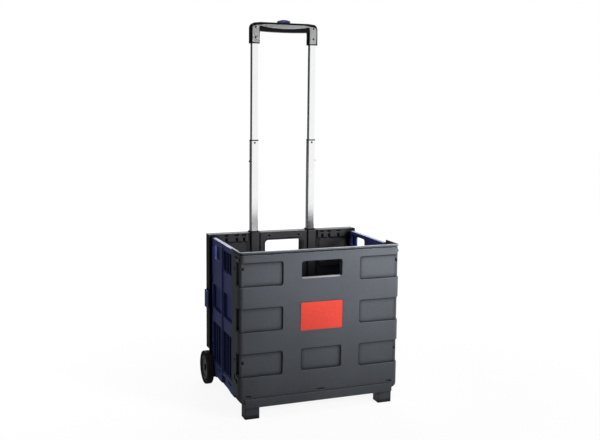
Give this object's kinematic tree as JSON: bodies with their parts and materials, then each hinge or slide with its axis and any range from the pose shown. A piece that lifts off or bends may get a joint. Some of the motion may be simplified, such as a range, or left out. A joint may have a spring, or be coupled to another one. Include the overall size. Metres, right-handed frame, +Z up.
{
  "type": "folding shopping trolley",
  "caption": "Folding crate on two wheels with hinged navy sides, grey front tray, black back panel, lift-up floor and telescopic pull handle.",
  "frame": {"origin": "on the ground, in the middle of the trolley's floor area as it stands open", "axes": "+X to the right seen from the front, -Y is the front panel, +Y the handle and wheels, +Z up"},
  "size_m": [0.441, 0.3288, 0.961],
  "materials": {
    "black_plastic": "fine-textured injection-moulded black plastic, slightly worn to satin on the edges",
    "slate_plastic": "satin slate-grey moulded polypropylene with a faint flow texture",
    "navy_plastic": "satin navy-blue moulded polypropylene",
    "floor_plastic": "dark textured moulded plastic, scuffed by loads",
    "label_red": "smooth glossy red plate",
    "tube_aluminium": "anodised silver aluminium with fine lengthwise drawing lines",
    "pin_steel": "bright zinc-plated steel wire and rod",
    "grip_grey": "satin mid-grey moulded plastic",
    "dark_fasteners": "black-coated steel",
    "tyre_rubber": "matt black rubber with a scuffed tread",
    "hub_plastic": "dark grey moulded plastic hub"
  },
  "bodies": {
    "back_frame": {"back_panel": "black_plastic", "wheel_bracket_left": "black_plastic", "wheel_bracket_right": "black_plastic", "floor_rests": "black_plastic", "outer_tube_left": "tube_aluminium", "outer_tube_right": "tube_aluminium", "tube_guides": "black_plastic", "left_rear_pin": "pin_steel", "right_rear_pin": "pin_steel", "latch_pins": "pin_steel", "axle_left": "pin_steel", "axle_right": "pin_steel", "wheel_washers": "pin_steel", "hub_cap_left": "hub_plastic", "hub_cap_right": "hub_plastic"},
    "middle_stage": {"mid_tube_left": "tube_aluminium", "mid_tube_right": "tube_aluminium", "mid_tube_collars": "black_plastic", "collar_rivets": "dark_fasteners", "lock_pins": "dark_fasteners"},
    "handle": {"inner_tube_left": "tube_aluminium", "inner_tube_right": "tube_aluminium", "inner_tube_guides": "black_plastic", "grip_body": "black_plastic", "grip_front": "grip_grey", "grip_screws": "dark_fasteners", "button_spring": "pin_steel"},
    "button": {"release_button": "navy_plastic"},
    "left_rear": {"left_rear_side": "navy_plastic", "left_mid_pin": "pin_steel"},
    "left_front": {"left_front_side": "navy_plastic"},
    "tray": {"front_tray": "slate_plastic", "label_plate": "label_red", "left_front_pin": "pin_steel", "right_front_pin": "pin_steel", "floor_rod": "pin_steel"},
    "right_rear": {"right_rear_side": "navy_plastic", "right_mid_pin": "pin_steel"},
    "right_front": {"right_front_side": "navy_plastic"},
    "floor": {"floor_panel": "floor_plastic"},
    "left_latch": {"latch_left": "navy_plastic"},
    "right_latch": {"latch_right": "navy_plastic"},
    "left_wheel": {"tyre_left": "tyre_rubber", "hub_left": "hub_plastic"},
    "right_wheel": {"tyre_right": "tyre_rubber", "hub_right": "hub_plastic"}
  },
  "joints": [
    {"name": "left_rear_fold", "type": "hinge", "parent": "back_frame", "child": "left_rear", "pos_m": [-0.1965, 0.1051, 0.23], "axis": [0, 0, 1], "range_deg": [0, 84]},
    {"name": "left_mid_fold", "type": "hinge", "parent": "left_rear", "child": "left_front", "pos_m": [-0.2015, 0.0001, 0.23], "axis": [0, 0, 1], "range_deg": [-168, 0]},
    {"name": "left_tray_fold", "type": "hinge", "parent": "left_front", "child": "tray", "pos_m": [-0.1965, -0.1049, 0.23], "axis": [0, 0, 1], "range_deg": [0, 84]},
    {"name": "right_rear_fold", "type": "hinge", "parent": "back_frame", "child": "right_rear", "pos_m": [0.1965, 0.1051, 0.23], "axis": [0, 0, 1], "range_deg": [-84, 0]},
    {"name": "right_mid_fold", "type": "hinge", "parent": "right_rear", "child": "right_front", "pos_m": [0.2015, 0.0001, 0.23], "axis": [0, 0, 1], "range_deg": [0, 168]},
    {"name": "floor_lift", "type": "hinge", "parent": "tray", "child": "floor", "pos_m": [0, -0.1169, 0.028], "axis": [1, 0, 0], "range_deg": [0, 90]},
    {"name": "middle_stage_slide", "type": "slide", "parent": "back_frame", "child": "middle_stage", "axis": [0, 0, -1], "range_m": [0, 0.239]},
    {"name": "handle_slide", "type": "slide", "parent": "middle_stage", "child": "handle", "axis": [0, 0, -1], "range_m": [0, 0.249]},
    {"name": "button_press", "type": "slide", "parent": "handle", "child": "button", "axis": [0, 0, -1], "range_m": [0, 0.004], "stiffness_N_per_m": 300, "springref_m": -0.001, "deforming": ["button_spring"]},
    {"name": "left_latch_swing", "type": "hinge", "parent": "back_frame", "child": "left_latch", "pos_m": [-0.2109, 0.1366, 0.23], "axis": [0, 0, -1], "range_deg": [0, 100]},
    {"name": "right_latch_swing", "type": "hinge", "parent": "back_frame", "child": "right_latch", "pos_m": [0.2109, 0.1366, 0.23], "axis": [0, 0, 1], "range_deg": [0, 100]},
    {"name": "left_wheel_spin", "type": "hinge", "parent": "back_frame", "child": "left_wheel", "pos_m": [-0.21175, 0.1204, 0.044], "axis": [1, 0, 0], "continuous": true},
    {"name": "right_wheel_spin", "type": "hinge", "parent": "back_frame", "child": "right_wheel", "pos_m": [0.21175, 0.1204, 0.044], "axis": [1, 0, 0], "continuous": true}
  ],
  "couplings": [
    {"joint": "left_mid_fold", "follows": "left_rear_fold", "ratio": -2},
    {"joint": "left_tray_fold", "follows": "left_rear_fold", "ratio": 1},
    {"joint": "right_rear_fold", "follows": "left_rear_fold", "ratio": -1},
    {"joint": "right_mid_fold", "follows": "left_rear_fold", "ratio": 2}
  ]
}
